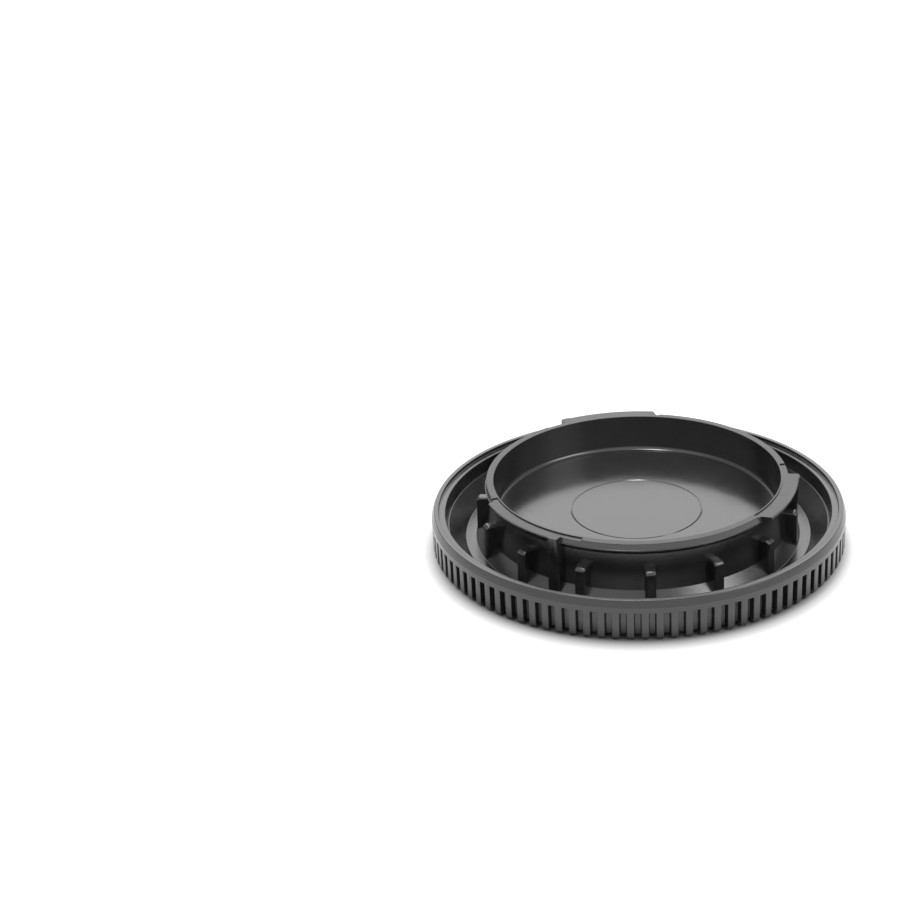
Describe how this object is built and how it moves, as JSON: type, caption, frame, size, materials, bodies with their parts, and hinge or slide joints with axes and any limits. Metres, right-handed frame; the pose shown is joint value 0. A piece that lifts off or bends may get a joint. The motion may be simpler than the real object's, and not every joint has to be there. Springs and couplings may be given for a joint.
{
  "type": "camera body cap",
  "caption": "Round moulded cap that closes a camera's lens mount: grooved grip rim, raised bayonet ring with outward lugs, radial fins, and a shallow cup inside the ring.",
  "frame": {"origin": "centre of the outer face's plane, on the cap's axis, so the cap stands on z = 0 as it lies in the picture", "axes": "+Z along the cap's axis, from the outer face towards the open end of the bayonet ring; -Y towards the camera of the picture; +X to the right"},
  "size_m": [0.06, 0.06, 0.01],
  "materials": {
    "black_plastic": "semi-gloss moulded black plastic"
  },
  "bodies": {
    "root": {"body_cap": "black_plastic"}
  },
  "joints": []
}
